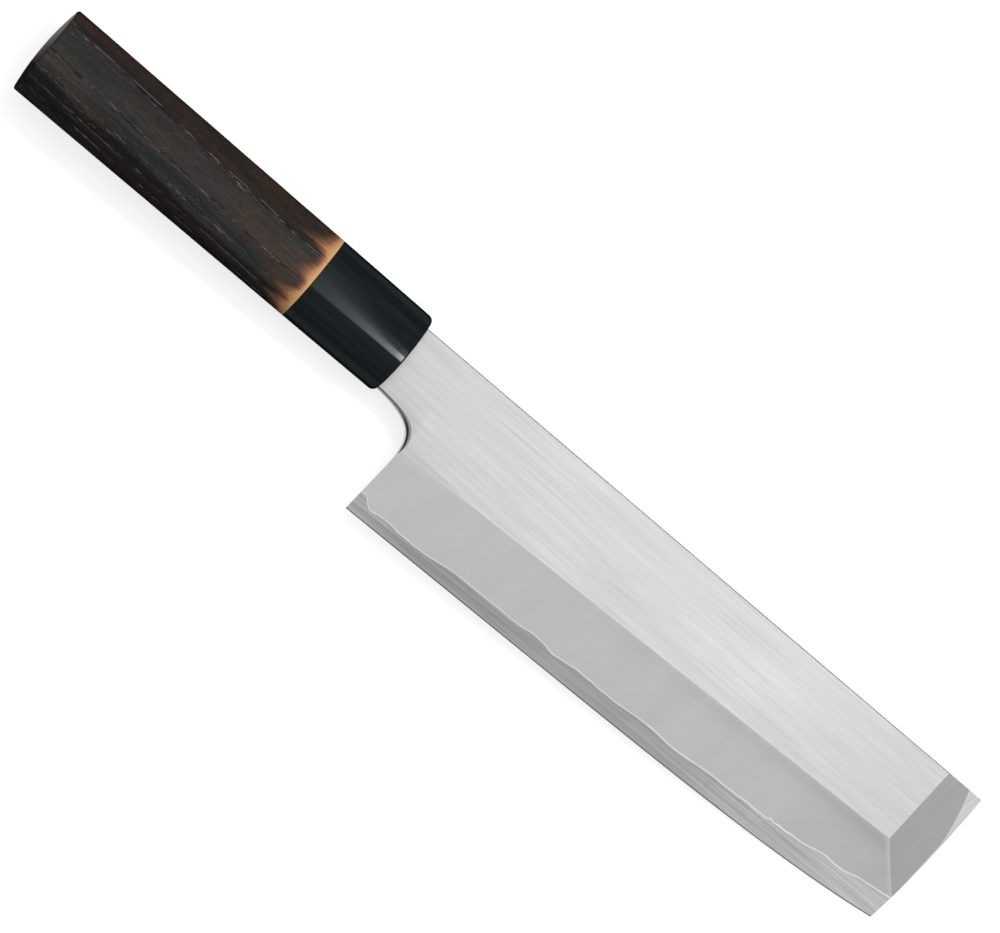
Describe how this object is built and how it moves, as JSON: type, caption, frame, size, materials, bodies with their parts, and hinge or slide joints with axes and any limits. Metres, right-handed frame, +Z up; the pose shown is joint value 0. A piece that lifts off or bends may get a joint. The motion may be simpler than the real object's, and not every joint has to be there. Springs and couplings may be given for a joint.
{
  "type": "single-bevel kitchen knife",
  "caption": "Fixed single-bevel kitchen knife: tall square-tipped laminated blade, hollow-ground back, black ferrule and charred chestnut grip.",
  "frame": {"origin": "the middle of the knife's bounding box, on the surface that the knife lies on", "axes": "+X from the butt to the tip, +Y from the edge to the spine, +Z up out of the bevelled face; the knife lies tipped 2.45 degrees, resting on the ferrule's underside and on the end of the blade"},
  "size_m": [0.3222, 0.055, 0.0268],
  "materials": {
    "soft_iron": "soft iron, flat ground with fine lengthwise lines, bevel stoned to a grey mist",
    "hard_steel": "hard carbon steel, ground bright with fine lines",
    "black_horn": "black horn or resin, polished to a gloss",
    "magnolia_wood": "plain turned magnolia wood",
    "charred_chestnut": "chestnut, charred and brushed so that the pores stay open, fading to tan at the ferrule"
  },
  "bodies": {
    "root": {"blade_iron": "soft_iron", "blade_steel": "hard_steel", "ferrule": "black_horn", "dowel": "magnolia_wood", "handle": "charred_chestnut"}
  },
  "joints": []
}
